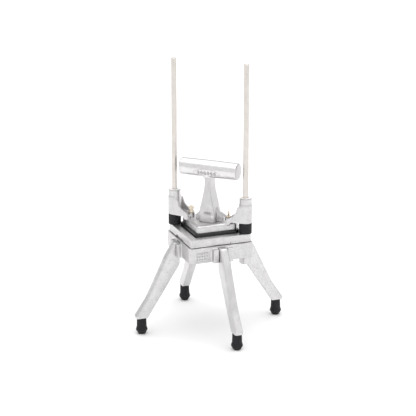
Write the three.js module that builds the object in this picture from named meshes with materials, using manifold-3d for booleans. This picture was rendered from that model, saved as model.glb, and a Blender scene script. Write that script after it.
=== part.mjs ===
// Tabletop vegetable dicer with a push-down head.
//
// A cast base stands on four splayed legs with rubber feet. Two guide rods rise from opposite
// corners of the base. A square blade frame drops over the rods onto the base, two rubber bumpers
// sit on it, and the head slides on the rods above: a cast plate with two arms and bosses, a T
// handle, and a block of square fingers that pushes food through the blade grid.
//
// Millimetres, +Z up. The origin is on the table, midway between the four feet. X runs through the
// two guide rods. The square castings stand on their corner, turned 45 degrees to X and Y, so what
// is square is built in the `turned` group, whose own axes point at the middles of the four sides.

import * as THREE from "three";
import { mergeVertices } from "three/addons/utils/BufferGeometryUtils.js";
import Module from "manifold-3d";

const wasm = await Module();
wasm.setup();

// ---------------------------------------------------------------- driving dimensions

const GAP = 0.3;                   // clearance kept between neighbouring pieces
const OVERALL_HEIGHT = 509;
const ROD_SPACING = 144;           // between the axes of the two guide rods
const ROD_RADIUS = 5;
const BLADE_OPENING = 89;          // clear square opening of the blade frame
const CELL = 12.7;                 // spacing of the blades: a half-inch cut
const BLADES_EACH_WAY = 6;
const FOOT_DISTANCE = 136.9;       // from the centre line to each foot's axis

// Heights of the main levels
const FOOT_TOP = 31;
const BASE_BOTTOM = 146;
const LEG_TOP = 172.5;
const BASE_TOP = 175.6;
const FRAME_BOTTOM = 176.4;
const FRAME_TOP = 191;
const PLATE_BOTTOM = 196.8;
const PLATE_TOP = 209.5;
const BOSS_BOTTOM = 211.7;
const BOSS_TOP = 258;
const GRIP_AXIS = 306.5;

// Base casting, half sizes of squares
const BASE_HALF = 62.5;
const BASE_CORNER = 4.5;            // at the rods
const BASE_WIDE_CORNER = 12;         // at the front and the back
const SKIRT_WALL = 5.5;
const BASE_WEB = 7;
const BASE_OPENING_HALF = 45.5;
const SEAT_HALF = 53;
const ROD_BOSS_RADIUS = 11.5;
const ROD_BOSS_BOTTOM = 133;
const ROD_SHOULDER = 150;
const ROD_THREAD_RADIUS = 4;
const NUT_POCKET_RADIUS = 8.3;
const NUT_POCKET_TOP = 143;
const WASHER_THICKNESS = 1.5;
const SOCKET_INNER = 8.3;          // half width of the leg's room between two blocks
const SOCKET_OUTER = 19.6;
const SOCKET_PROUD = 8.5;
const SOCKET_TOP = 172;

// Legs and their bolts
const LEG_HALF_WIDTH = 8;
const LEG_BEVEL = 2.6;
const LEG_BOLT_HEIGHT = 158;
const LEG_BOLT_RADIUS = 3;
const SPIGOT_RADIUS = 5.2;
const SPIGOT_BOTTOM = 12;

// Blade frame and blades
const FRAME_HALF = 59.5;
const FRAME_CORNER = 2.5;
const NOTCH_HALF_LENGTH = 19;      // finger notches under the frame's sides
const NOTCH_HEIGHT = 4.2;
const NOTCH_DEPTH = 4;
const BLADE_THICKNESS = 0.6;
const BLADE_REACH = 51;            // half length of a blade, lugs included
const UPPER_BLADE = [183.9, 190.2];
const LOWER_BLADE = [177, 183.5];
const BAR_BOTTOM = 176.7;
const BAR_TOP = 179.3;
const BAR_HALF_LENGTH = 38;
const BAR_SCREW_OFFSET = 35.3;
const BAR_SCREW_RADIUS = 1.4;
const BAR_SCREW_HEAD = 2.5;

// Rubber bumpers
const BUMPER_RADIUS = 11.85;

// Head casting
const BOSS_RADIUS = 12.3;
const BOSS_NECK_RADIUS = 11.4;
const BOSS_NECK = 246;
const BUSHING_BORE = 8;
const BUSHING_SHOULDERS = [229, 236];
const PLATE_HALF = 40;
const PLATE_CORNER = 6;
const PLATE_RECESS_HALF = 33;
const PLATE_RECESS_FLOOR = 207.3;
const ARM_END = 36;                // where an arm meets the plate
const ARM_SPREAD = THREE.MathUtils.degToRad(6.5);
const WEB_THICKNESS = 3.2;
const PAD_TOP = 217.4;
const PAD_RADIUS = 6.6;
const THUMB_SCREW_X = 38;
const THUMB_SCREW_RADIUS = 3;

// T handle
const GRIP_RADIUS = 16.5;
const GRIP_HALF_LENGTH = 57.5;
const GRIP_EDGE = 3.6;
const HANDLE_SCREW_X = 9;
const HANDLE_SCREW_RADIUS = 2.5;
const HANDLE_SCREW_TOP = 224;

// Pusher block
const BLOCK_HALF = 43.5;
const BLOCK_CORNER = 8;
const BLOCK_BOTTOM = 190.6;
const BLOCK_TOP = 196.5;
const FINGER_TIP = 177.6;
const FINGER_ROOT_HALF = 5.45;
const FINGER_TIP_HALF = 5;

// How far each thumb screw happens to be turned
const LEFT_SCREW_TURN = THREE.MathUtils.degToRad(24);
const RIGHT_SCREW_TURN = THREE.MathUtils.degToRad(-62);

const ROUND = 20;                  // sides of a round
const SMALL_ROUND = 12;            // sides of a small or hidden round
const RIGHT_ANGLE = Math.PI / 2;
const ROD_ALONG_SIDE = ROD_SPACING / 2 / Math.SQRT2;   // rod axis in the turned group

// ---------------------------------------------------------------- materials

function metal(colour, roughness) {
  return new THREE.MeshStandardMaterial({ color: colour, roughness, metalness: 0.9 });
}

function plain(colour, roughness) {
  return new THREE.MeshStandardMaterial({ color: colour, roughness, metalness: 0 });
}

const castAluminium = () => metal(0xd6d6da, 0.42);
const stainless = () => metal(0xd9d2c9, 0.28);
const bladeSteel = () => metal(0xc9cdd2, 0.18);
const zincSteel = () => metal(0xb8bbbf, 0.35);
const brass = () => metal(0xc9b48a, 0.35);
const blackRubber = () => plain(0x2c2e33, 0.75);
const blackPlastic = () => plain(0x17171a, 0.5);
const whiteNylon = () => plain(0xf2f2ef, 0.5);

// ---------------------------------------------------------------- solids

// Turns a closed three.js geometry into a solid, with its faces pointing out.
function solid(geometry) {
  const bare = geometry.index ? geometry.toNonIndexed() : geometry.clone();
  for (const name of Object.keys(bare.attributes)) {
    if (name !== "position") bare.deleteAttribute(name);
  }
  const merged = mergeVertices(bare, 1e-4);
  const points = merged.attributes.position.array;
  const corner = (i) => new THREE.Vector3().fromArray(points, 3 * i);
  const triangles = [];
  let volume = 0;
  for (let i = 0; i < merged.index.count; i += 3) {
    const [a, b, c] = [0, 1, 2].map((k) => merged.index.getX(i + k));
    if (a === b || b === c || c === a) continue;
    triangles.push([a, b, c]);
    volume += corner(a).dot(corner(b).cross(corner(c)));
  }
  const outward = volume < 0 ? triangles.map(([a, b, c]) => [a, c, b]) : triangles;
  return new wasm.Manifold(new wasm.Mesh({
    numProp: 3,
    vertProperties: new Float32Array(points),
    triVerts: new Uint32Array(outward.flat()),
  }));
}

function geometryOf(manifold) {
  const mesh = manifold.getMesh();
  const geometry = new THREE.BufferGeometry();
  geometry.setAttribute("position", new THREE.BufferAttribute(mesh.vertProperties, 3));
  geometry.setIndex(new THREE.BufferAttribute(mesh.triVerts, 1));
  geometry.computeVertexNormals();
  return geometry;
}

function block([x0, x1], [y0, y1], [z0, z1]) {
  const geometry = new THREE.BoxGeometry(x1 - x0, y1 - y0, z1 - z0);
  geometry.translate((x0 + x1) / 2, (y0 + y1) / 2, (z0 + z1) / 2);
  return solid(geometry);
}

// A solid turned about the vertical from [radius, height] points.
// A profile that doesn't start and end on the axis closes on itself.
function turnedSolid(profile, x = 0, y = 0, sides = ROUND) {
  const onAxis = profile[0][0] === 0 && profile.at(-1)[0] === 0;
  const closed = onAxis ? profile : [...profile, profile[0]];
  const geometry = new THREE.LatheGeometry(closed.map(([r, z]) => new THREE.Vector2(r, z)), sides);
  geometry.rotateX(RIGHT_ANGLE);
  geometry.translate(x, y, 0);
  return solid(geometry);
}

function post(radius, [z0, z1], x = 0, y = 0, sides = ROUND) {
  return turnedSolid([[0, z0], [radius, z0], [radius, z1], [0, z1]], x, y, sides);
}

function ring(outer, inner, [z0, z1], x = 0, y = 0, sides = ROUND) {
  return turnedSolid([[inner, z0], [outer, z0], [outer, z1], [inner, z1]], x, y, sides);
}

// A post lying along X
function bar(radius, [x0, x1], y, z, sides = SMALL_ROUND) {
  const geometry = new THREE.CylinderGeometry(radius, radius, x1 - x0, sides);
  geometry.rotateZ(RIGHT_ANGLE);
  geometry.translate((x0 + x1) / 2, y, z);
  return solid(geometry);
}

// An outline of [x, z] points, extruded along Y
function slab(outline, [y0, y1]) {
  const shape = new THREE.Shape(outline.map(([x, z]) => new THREE.Vector2(x, z)));
  const geometry = new THREE.ExtrudeGeometry(shape, { depth: y1 - y0, bevelEnabled: false });
  geometry.rotateX(RIGHT_ANGLE);
  geometry.translate(0, y1, 0);
  return solid(geometry);
}

// The corner points of a rectangle with round corners, counter-clockwise from the +X +Y corner.
// The second and fourth corners may have a radius of their own.
function roundedOutline(halfX, halfY, radius, steps = 5, otherRadius = radius) {
  const points = [];
  for (let quarter = 0; quarter < 4; quarter++) {
    const signX = quarter === 0 || quarter === 3 ? 1 : -1;
    const signY = quarter < 2 ? 1 : -1;
    const bend = quarter % 2 === 0 ? radius : otherRadius;
    for (let step = 0; step <= steps; step++) {
      const angle = (quarter + step / steps) * RIGHT_ANGLE;
      points.push([
        signX * (halfX - bend) + bend * Math.cos(angle),
        signY * (halfY - bend) + bend * Math.sin(angle),
      ]);
    }
  }
  return points;
}

// Joins outlines with the same number of points, each at its own height, into one closed body.
function loft(layers) {
  const count = layers[0].outline.length;
  const points = layers.flatMap(({ outline, z }) => outline.flatMap(([x, y]) => [x, y, z]));
  const index = [];
  for (let layer = 0; layer < layers.length - 1; layer++) {
    for (let i = 0; i < count; i++) {
      const a = layer * count + i;
      const b = layer * count + (i + 1) % count;
      index.push(a, b, b + count, a, b + count, a + count);
    }
  }
  const top = (layers.length - 1) * count;
  for (let i = 1; i < count - 1; i++) {
    index.push(0, i + 1, i);
    index.push(top, top + i, top + i + 1);
  }
  const geometry = new THREE.BufferGeometry();
  geometry.setAttribute("position", new THREE.Float32BufferAttribute(points, 3));
  geometry.setIndex(index);
  return solid(geometry);
}

// A square column with round corners, whose half size may change with height: [half, z] pairs
function squareColumn(levels, radius, otherRadius = radius) {
  return loft(levels.map(([half, z]) =>
    ({ outline: roundedOutline(half, half, radius, 5, otherRadius), z })));
}

function joined(solids) {
  return solids.reduce((whole, piece) => whole.add(piece));
}

function drilled(body, cuts) {
  return cuts.reduce((rest, cut) => rest.subtract(cut), body);
}

// ---------------------------------------------------------------- scene

const dicer = new THREE.Group();
const turned = new THREE.Group();
turned.rotation.z = Math.PI / 4;
dicer.add(turned);

function addPiece(parent, name, body, material) {
  const piece = new THREE.Mesh(geometryOf(body), material);
  piece.name = name;
  parent.add(piece);
  return piece;
}

// Places of the two rods in the turned group
const rodCorners = [
  { x: ROD_ALONG_SIDE, y: -ROD_ALONG_SIDE },
  { x: -ROD_ALONG_SIDE, y: ROD_ALONG_SIDE },
];

function rodHoles(radius, levels) {
  return rodCorners.map(({ x, y }) => post(radius, levels, x, y));
}

// ---------------------------------------------------------------- base casting

// One side of the base: the two blocks that hold a leg, facing the group's +X
function legSocket() {
  const depth = [BASE_HALF - 1, BASE_HALF + SOCKET_PROUD];
  const height = [BASE_BOTTOM, SOCKET_TOP];
  return joined([
    block(depth, [SOCKET_INNER, SOCKET_OUTER], height),
    block(depth, [-SOCKET_OUTER, -SOCKET_INNER], height),
  ]);
}

function baseCasting() {
  const inside = BASE_HALF - SKIRT_WALL;
  const skirt = squareColumn([[BASE_HALF, BASE_BOTTOM], [BASE_HALF, BASE_TOP]],
    BASE_WIDE_CORNER, BASE_CORNER);
  const underside = squareColumn([[inside, BASE_BOTTOM - 1], [inside, BASE_TOP - BASE_WEB]],
    BASE_WIDE_CORNER - SKIRT_WALL, BASE_CORNER);
  const seatTop = FRAME_BOTTOM - GAP;
  const seat = block([-SEAT_HALF, SEAT_HALF], [-SEAT_HALF, SEAT_HALF], [BASE_TOP - 1, seatTop]);
  const bosses = rodHoles(ROD_BOSS_RADIUS, [ROD_BOSS_BOTTOM, BASE_TOP - 1]);
  const sockets = [0, 90, 180, 270].map((turn) => legSocket().rotate([0, 0, turn]));
  const body = joined([skirt.subtract(underside), seat, ...bosses, ...sockets]);
  const opening = block([-BASE_OPENING_HALF, BASE_OPENING_HALF],
    [-BASE_OPENING_HALF, BASE_OPENING_HALF], [BASE_BOTTOM - 20, seatTop + 1]);
  const boltHoles = [0, 90, 180, 270].map((turn) =>
    bar(LEG_BOLT_RADIUS + GAP, [inside - 4, BASE_HALF + 4], 0, LEG_BOLT_HEIGHT)
      .rotate([0, 0, turn]));
  return drilled(body, [
    opening,
    ...boltHoles,
    ...rodHoles(ROD_RADIUS + GAP, [ROD_SHOULDER - GAP, seatTop + 1]),
    ...rodHoles(ROD_THREAD_RADIUS + GAP, [NUT_POCKET_TOP - 1, ROD_SHOULDER]),
    ...rodHoles(NUT_POCKET_RADIUS, [ROD_BOSS_BOTTOM - 1, NUT_POCKET_TOP]),
  ]);
}

addPiece(turned, "base_casting", baseCasting(), castAluminium());

// ---------------------------------------------------------------- legs, feet and leg bolts

// Horizontal section of a leg that leans out along +X, its outer edges bevelled
function legSection(inner, outer) {
  return [
    [inner, -LEG_HALF_WIDTH],
    [outer - LEG_BEVEL, -LEG_HALF_WIDTH],
    [outer, LEG_BEVEL - LEG_HALF_WIDTH],
    [outer, LEG_HALF_WIDTH - LEG_BEVEL],
    [outer - LEG_BEVEL, LEG_HALF_WIDTH],
    [inner, LEG_HALF_WIDTH],
  ];
}

function leg() {
  const face = BASE_HALF + GAP;
  const bottom = FOOT_TOP + GAP;
  const levels = [
    [126.8, 149.4, bottom], [124.2, 149.4, 35.3], [122.4, 147.6, 38], [101, 125.7, 71],
    [face, 97.5, 129.7], [face, 90.3, 145], [face, 73, LEG_TOP],
  ];
  const layers = levels.map(([inner, outer, z]) => ({ outline: legSection(inner, outer), z }));
  const spigot = post(SPIGOT_RADIUS, [SPIGOT_BOTTOM, bottom + 1], FOOT_DISTANCE, 0, SMALL_ROUND);
  const boltHole = bar(LEG_BOLT_RADIUS + GAP, [face - 1, face + 13], 0, LEG_BOLT_HEIGHT);
  return loft(layers).add(spigot).subtract(boltHole);
}

function rubberFoot() {
  const bore = SPIGOT_RADIUS + GAP;
  const boreFloor = SPIGOT_BOTTOM - GAP;
  return turnedSolid([
    [0, 0], [6.4, 0], [7.6, 1.2], [10.8, 7.6], [10.8, 9.2], [9.2, 13.8], [8.8, FOOT_TOP],
    [bore, FOOT_TOP], [bore, boreFloor], [0, boreFloor],
  ]);
}

function hexPrism(acrossCorners, [z0, z1]) {
  return post(acrossCorners / 2, [z0, z1], 0, 0, 6);
}

// A hexagon bolt along +X, its head inside the skirt
function legBolt() {
  const underHead = BASE_HALF - SKIRT_WALL - GAP;
  const head = hexPrism(11.5, [0, 4]).rotate([0, 90, 0]).translate([underHead - 4, 0, 0]);
  const shank = bar(LEG_BOLT_RADIUS, [underHead - 1, BASE_HALF + 12], 0, 0);
  return head.add(shank).translate([0, 0, LEG_BOLT_HEIGHT]);
}

const legShape = leg();
const footShape = rubberFoot();
const boltShape = legBolt();
const sides = ["back_right", "back_left", "front_left", "front_right"];
sides.forEach((side, quarter) => {
  const corner = new THREE.Group();
  corner.rotation.z = quarter * RIGHT_ANGLE;
  turned.add(corner);
  addPiece(corner, `leg_${side}`, legShape, castAluminium());
  addPiece(corner, `leg_bolt_${side}`, boltShape, zincSteel());
  addPiece(corner, `foot_${side}`, footShape, blackRubber()).position.x = FOOT_DISTANCE;
});

// ---------------------------------------------------------------- guide rods, nuts and bumpers

function guideRod() {
  return turnedSolid([
    [0, ROD_BOSS_BOTTOM + 0.6], [ROD_THREAD_RADIUS, ROD_BOSS_BOTTOM + 0.6],
    [ROD_THREAD_RADIUS, ROD_SHOULDER], [ROD_RADIUS, ROD_SHOULDER],
    [ROD_RADIUS, OVERALL_HEIGHT - 1.8], [ROD_RADIUS - 1.4, OVERALL_HEIGHT], [0, OVERALL_HEIGHT],
  ]);
}

// The washer and the nut sit in the pocket under the base's rod boss.
function rodWasher() {
  const top = NUT_POCKET_TOP - GAP;
  return ring(7.8, ROD_THREAD_RADIUS + GAP, [top - WASHER_THICKNESS, top], 0, 0, SMALL_ROUND);
}

function rodNut() {
  const top = NUT_POCKET_TOP - WASHER_THICKNESS - 2 * GAP;
  const hole = post(ROD_THREAD_RADIUS + GAP, [top - 8, top + 1], 0, 0, SMALL_ROUND);
  return hexPrism(15, [top - 6.5, top]).subtract(hole);
}

function bumper() {
  const bore = ROD_RADIUS + GAP;
  const bottom = FRAME_TOP + GAP;
  const top = BOSS_BOTTOM - GAP;
  return turnedSolid([
    [bore, bottom], [BUMPER_RADIUS - 0.7, bottom], [BUMPER_RADIUS, bottom + 0.7],
    [BUMPER_RADIUS, top - 0.7], [BUMPER_RADIUS - 0.7, top], [bore, top],
  ]);
}

const rodSides = [["left", -1], ["right", 1]];
for (const [side, sign] of rodSides) {
  const stack = new THREE.Group();
  stack.position.x = sign * ROD_SPACING / 2;
  dicer.add(stack);
  addPiece(stack, `guide_rod_${side}`, guideRod(), stainless());
  addPiece(stack, `rod_washer_${side}`, rodWasher(), zincSteel());
  addPiece(stack, `rod_nut_${side}`, rodNut(), zincSteel());
  addPiece(stack, `bumper_${side}`, bumper(), blackRubber());
}

// ---------------------------------------------------------------- blade frame and blades

const openingHalf = BLADE_OPENING / 2;
const bladeOffsets = Array.from({ length: BLADES_EACH_WAY },
  (_, i) => (i - (BLADES_EACH_WAY - 1) / 2) * CELL);

// Countersunk screw shape, pointing up from the underside of a retaining bar
function barScrewProfile(extra) {
  return [
    [0, BAR_BOTTOM - extra], [BAR_SCREW_HEAD + extra, BAR_BOTTOM - extra],
    [BAR_SCREW_RADIUS + extra, BAR_BOTTOM + 1.3], [BAR_SCREW_RADIUS + extra, 184 + extra],
    [0, 184 + extra],
  ];
}

function barScrewShape(extra, offset) {
  return turnedSolid(barScrewProfile(extra), openingHalf + 3.4, offset, SMALL_ROUND);
}

function bladeFrame() {
  const body = squareColumn([[FRAME_HALF, FRAME_BOTTOM], [FRAME_HALF, FRAME_TOP - 0.8],
    [FRAME_HALF - 0.8, FRAME_TOP]], FRAME_CORNER);
  const opening = squareColumn([[openingHalf, FRAME_BOTTOM - 1], [openingHalf, FRAME_TOP - 1.6],
    [openingHalf + 2.6, FRAME_TOP + 1]], 0.5);
  const reach = BLADE_REACH + GAP;
  const slotHalf = BLADE_THICKNESS / 2 + GAP;
  const slots = bladeOffsets.flatMap((offset) => {
    const across = [offset - slotHalf, offset + slotHalf];
    return [
      block([-reach, reach], across, [FRAME_BOTTOM - 1, UPPER_BLADE[1] + GAP]),
      block(across, [-reach, reach], [FRAME_BOTTOM - 1, LOWER_BLADE[1] + GAP]),
    ];
  });
  const barLength = [-BAR_HALF_LENGTH - GAP, BAR_HALF_LENGTH + GAP];
  const sideCuts = [0, 90, 180, 270].flatMap((turn) => [
    block([openingHalf - 1, reach], barLength, [FRAME_BOTTOM - 1, BAR_TOP + GAP]),
    barScrewShape(GAP, BAR_SCREW_OFFSET),
    barScrewShape(GAP, -BAR_SCREW_OFFSET),
    block([FRAME_HALF - NOTCH_DEPTH, FRAME_HALF + 1], [-NOTCH_HALF_LENGTH, NOTCH_HALF_LENGTH],
      [FRAME_BOTTOM - 1, FRAME_BOTTOM + NOTCH_HEIGHT]),
  ].map((cut) => cut.rotate([0, 0, turn])));
  const rodClearance = rodHoles(ROD_RADIUS + GAP, [FRAME_BOTTOM - 1, FRAME_TOP + 1]);
  return drilled(body, [opening, ...slots, ...sideCuts, ...rodClearance]);
}

// A strip with a lug at each end that stands in the frame's slot on a retaining bar
function blade([bottom, top]) {
  const strip = openingHalf - GAP;
  const lugBottom = BAR_TOP + GAP;
  const half = BLADE_THICKNESS / 2;
  return slab([
    [-BLADE_REACH, lugBottom], [-strip, lugBottom], [-strip, bottom], [strip, bottom],
    [strip, lugBottom], [BLADE_REACH, lugBottom], [BLADE_REACH, top], [-BLADE_REACH, top],
  ], [-half, half]);
}

function retainingBar() {
  const body = block([openingHalf + GAP, BLADE_REACH], [-BAR_HALF_LENGTH, BAR_HALF_LENGTH],
    [BAR_BOTTOM, BAR_TOP]);
  return drilled(body, [-1, 1].map((side) => barScrewShape(GAP, side * BAR_SCREW_OFFSET)));
}

addPiece(turned, "blade_frame", bladeFrame(), castAluminium());
const upperBlade = blade(UPPER_BLADE);
const lowerBlade = blade(LOWER_BLADE);
bladeOffsets.forEach((offset, i) => {
  addPiece(turned, `blade_upper_${i + 1}`, upperBlade, bladeSteel()).position.y = offset;
  const lower = addPiece(turned, `blade_lower_${i + 1}`, lowerBlade, bladeSteel());
  lower.position.x = offset;
  lower.rotation.z = RIGHT_ANGLE;
});
sides.forEach((side, quarter) => {
  const corner = new THREE.Group();
  corner.rotation.z = quarter * RIGHT_ANGLE;
  turned.add(corner);
  addPiece(corner, `blade_bar_${side}`, retainingBar(), zincSteel());
  [-1, 1].forEach((end, i) => {
    const screw = barScrewShape(0, end * BAR_SCREW_OFFSET);
    addPiece(corner, `bar_screw_${side}_${i + 1}`, screw, zincSteel());
  });
});

// ---------------------------------------------------------------- head casting

// Side view of an arm's web, from the boss at the rod down to the plate: [x, z] for the +X arm
const webOutline = [
  [ROD_SPACING / 2, BOSS_BOTTOM], [ROD_SPACING / 2, 243], [59.5, 243], [57.2, 236], [55, 230.5],
  [51.5, 225.8], [46.5, 222], [41, 219.2], [37.6, 216.6], [ARM_END, 213.4],
  [ARM_END, PLATE_RECESS_FLOOR - 1], [44, PLATE_RECESS_FLOOR - 1], [46.5, BOSS_BOTTOM],
];

// The floor of the arm's channel, between the webs
const floorOutline = [
  [ROD_SPACING / 2, BOSS_BOTTOM], [ROD_SPACING / 2, 215.5], [50, 215.5], [42, 213.6],
  [ARM_END, 211.8], [ARM_END, PLATE_RECESS_FLOOR - 1], [44, PLATE_RECESS_FLOOR - 1],
  [46.5, BOSS_BOTTOM],
];

function spreadWeb(side) {
  const outer = side * BOSS_RADIUS;
  const inner = side * (BOSS_RADIUS - WEB_THICKNESS);
  const web = slab(webOutline, [Math.min(inner, outer), Math.max(inner, outer)]);
  return web.translate([-ROD_SPACING / 2, 0, 0])
    .rotate([0, 0, -side * THREE.MathUtils.radToDeg(ARM_SPREAD)])
    .translate([ROD_SPACING / 2, 0, 0]);
}

function arm() {
  const boss = turnedSolid([
    [0, BOSS_BOTTOM], [BOSS_RADIUS, BOSS_BOTTOM], [BOSS_RADIUS, BOSS_NECK],
    [BOSS_NECK_RADIUS, BOSS_NECK + 1.2], [BOSS_NECK_RADIUS, BOSS_TOP], [0, BOSS_TOP],
  ], ROD_SPACING / 2);
  const floor = slab(floorOutline, [-BOSS_RADIUS + 1, BOSS_RADIUS - 1]);
  const pad = post(PAD_RADIUS, [PLATE_RECESS_FLOOR - 1, PAD_TOP], THUMB_SCREW_X, 0);
  return joined([boss, floor, pad, spreadWeb(1), spreadWeb(-1)]);
}

function headCasting() {
  const plate = squareColumn([
    [PLATE_HALF - 0.5, PLATE_BOTTOM], [PLATE_HALF, PLATE_BOTTOM + 0.5],
    [PLATE_HALF, PLATE_TOP - 3], [PLATE_HALF - 0.4, PLATE_TOP - 1.5],
    [PLATE_HALF - 1.5, PLATE_TOP - 0.4], [PLATE_HALF - 3, PLATE_TOP],
  ], PLATE_CORNER).rotate([0, 0, 45]);
  const recess = squareColumn([
    [PLATE_RECESS_HALF, PLATE_RECESS_FLOOR], [PLATE_RECESS_HALF + 0.8, PLATE_TOP + 0.5],
  ], 3).rotate([0, 0, 45]);
  const arms = [arm(), arm().rotate([0, 0, 180])];
  const bores = [-1, 1].flatMap((sign) => {
    const x = sign * ROD_SPACING / 2;
    return [
      post(BUSHING_BORE, [BOSS_BOTTOM - 1, BUSHING_SHOULDERS[0]], x),
      post(BUSHING_BORE - 1.5, [BOSS_BOTTOM - 1, BOSS_TOP + 1], x),
      post(BUSHING_BORE, [BUSHING_SHOULDERS[1], BOSS_TOP + 1], x),
      post(THUMB_SCREW_RADIUS + GAP, [PLATE_BOTTOM - 1, PAD_TOP + 1], sign * THUMB_SCREW_X),
      post(HANDLE_SCREW_RADIUS + GAP, [PLATE_BOTTOM - 1, PLATE_TOP], sign * HANDLE_SCREW_X),
      post(5, [PLATE_BOTTOM - 1, PLATE_BOTTOM + 5.3], sign * HANDLE_SCREW_X),
    ];
  });
  return drilled(joined([plate.subtract(recess), ...arms]), bores);
}

// The lower sleeve is plain; the upper one has a flange that shows on top of the boss.
function lowerBushing() {
  return ring(BUSHING_BORE - GAP, ROD_RADIUS + GAP,
    [BOSS_BOTTOM + GAP, BUSHING_SHOULDERS[0] - GAP]);
}

function upperBushing() {
  const bore = ROD_RADIUS + GAP;
  const sleeve = BUSHING_BORE - GAP;
  const flange = 9.8;
  const seat = BOSS_TOP + GAP;
  return turnedSolid([
    [bore, BUSHING_SHOULDERS[1] + GAP], [sleeve, BUSHING_SHOULDERS[1] + GAP], [sleeve, seat],
    [flange, seat], [flange, seat + 1.2], [bore, seat + 1.2],
  ]);
}

addPiece(dicer, "head_casting", headCasting(), castAluminium());
for (const [side, sign] of rodSides) {
  const lower = addPiece(dicer, `bushing_lower_${side}`, lowerBushing(), whiteNylon());
  const upper = addPiece(dicer, `bushing_upper_${side}`, upperBushing(), whiteNylon());
  lower.position.x = sign * ROD_SPACING / 2;
  upper.position.x = sign * ROD_SPACING / 2;
}

// ---------------------------------------------------------------- T handle and its screws

function grip() {
  const edge = [];
  const quarterSteps = 4;
  for (let step = 0; step <= quarterSteps; step++) {
    const angle = step / quarterSteps * RIGHT_ANGLE;
    edge.push([
      GRIP_RADIUS - GRIP_EDGE + GRIP_EDGE * Math.cos(angle),
      GRIP_HALF_LENGTH - GRIP_EDGE + GRIP_EDGE * Math.sin(angle),
    ]);
  }
  const mirrored = edge.map(([r, along]) => [r, -along]).reverse();
  const profile = [[0, -GRIP_HALF_LENGTH], ...mirrored, ...edge, [0, GRIP_HALF_LENGTH]];
  return turnedSolid(profile, 0, 0, 28).rotate([0, 90, 0]).translate([0, 0, GRIP_AXIS]);
}

// The stem is wide across the foot and narrows in X towards the grip: [half x, half y, z]
function stem() {
  const sections = [
    [16.6, 15, 218], [15.8, 15, 224], [14.1, 15, 232], [11.9, 14.8, 242],
    [9.9, 14.4, 251], [7.8, 13.6, 262], [6.3, 12.8, 274], [5.6, 12.4, 285], [6.6, 12.7, 291],
    [9.4, 13.2, 295.5], [12, 13.2, 300],
  ];
  return loft(sections.map(([x, y, z]) => ({ outline: roundedOutline(x, y, 2.2, 3), z })));
}

function handleFoot() {
  const bottom = PLATE_RECESS_FLOOR + GAP;
  const sections = [[16.8, 17.6, bottom], [17.2, 18, bottom + 1], [17.2, 18, 216.3],
    [16.8, 17.6, 218.2], [15.8, 16.6, 219.4]];
  return loft(sections.map(([x, y, z]) => ({ outline: roundedOutline(x, y, 10, 5), z })));
}

// Gussets between the stem and the thumb screw pads
function gusset() {
  const bottom = PLATE_RECESS_FLOOR + GAP;
  return slab([
    [10, bottom], [27, bottom], [27, 214.5], [25.4, 217.6], [21.6, 221], [18, 226], [14, 233],
  ], [-4.5, 4.5]);
}

function teeHandle() {
  const body = joined([handleFoot(), stem(), grip(), gusset(), gusset().rotate([0, 0, 180])]);
  return drilled(body, [-1, 1].map((sign) =>
    post(HANDLE_SCREW_RADIUS + GAP, [PLATE_TOP - 5, HANDLE_SCREW_TOP + GAP],
      sign * HANDLE_SCREW_X, 0, SMALL_ROUND)));
}

function handleScrew() {
  const bottom = PLATE_BOTTOM + GAP;
  const underHead = PLATE_BOTTOM + 5.3 - GAP;
  return turnedSolid([
    [0, bottom], [4.5, bottom], [4.5, underHead], [HANDLE_SCREW_RADIUS, underHead],
    [HANDLE_SCREW_RADIUS, HANDLE_SCREW_TOP], [0, HANDLE_SCREW_TOP],
  ], 0, 0, SMALL_ROUND);
}

addPiece(dicer, "tee_handle", teeHandle(), castAluminium());
for (const [side, sign] of rodSides) {
  const screw = addPiece(dicer, `handle_screw_${side}`, handleScrew(), zincSteel());
  screw.position.x = sign * HANDLE_SCREW_X;
}

// ---------------------------------------------------------------- pusher block

function pusherBlock() {
  const plate = squareColumn([[BLOCK_HALF, BLOCK_BOTTOM], [BLOCK_HALF, BLOCK_TOP]], BLOCK_CORNER);
  const squareOutline = (half) => [[half, half], [-half, half], [-half, -half], [half, -half]];
  const fingers = [];
  const lastCell = BLADES_EACH_WAY / 2;
  for (let column = -lastCell; column <= lastCell; column++) {
    for (let row = -lastCell; row <= lastCell; row++) {
      const finger = loft([
        { outline: squareOutline(FINGER_TIP_HALF), z: FINGER_TIP },
        { outline: squareOutline(FINGER_ROOT_HALF), z: BLOCK_BOTTOM + 1 },
      ]);
      fingers.push(finger.translate([column * CELL, row * CELL, 0]));
    }
  }
  // The corner fingers take the plate's round corners.
  const envelope = squareColumn([[BLOCK_HALF, FINGER_TIP - 1], [BLOCK_HALF, BLOCK_TOP]], BLOCK_CORNER);
  const screwHoles = [-1, 1].map((sign) =>
    post(THUMB_SCREW_RADIUS + GAP, [186, BLOCK_TOP + 1], sign * THUMB_SCREW_X, 0, SMALL_ROUND)
      .rotate([0, 0, -45]));
  return drilled(joined([plate, ...fingers]).intersect(envelope), screwHoles);
}

addPiece(turned, "pusher_block", pusherBlock(), blackPlastic());

// ---------------------------------------------------------------- thumb screws

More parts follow.
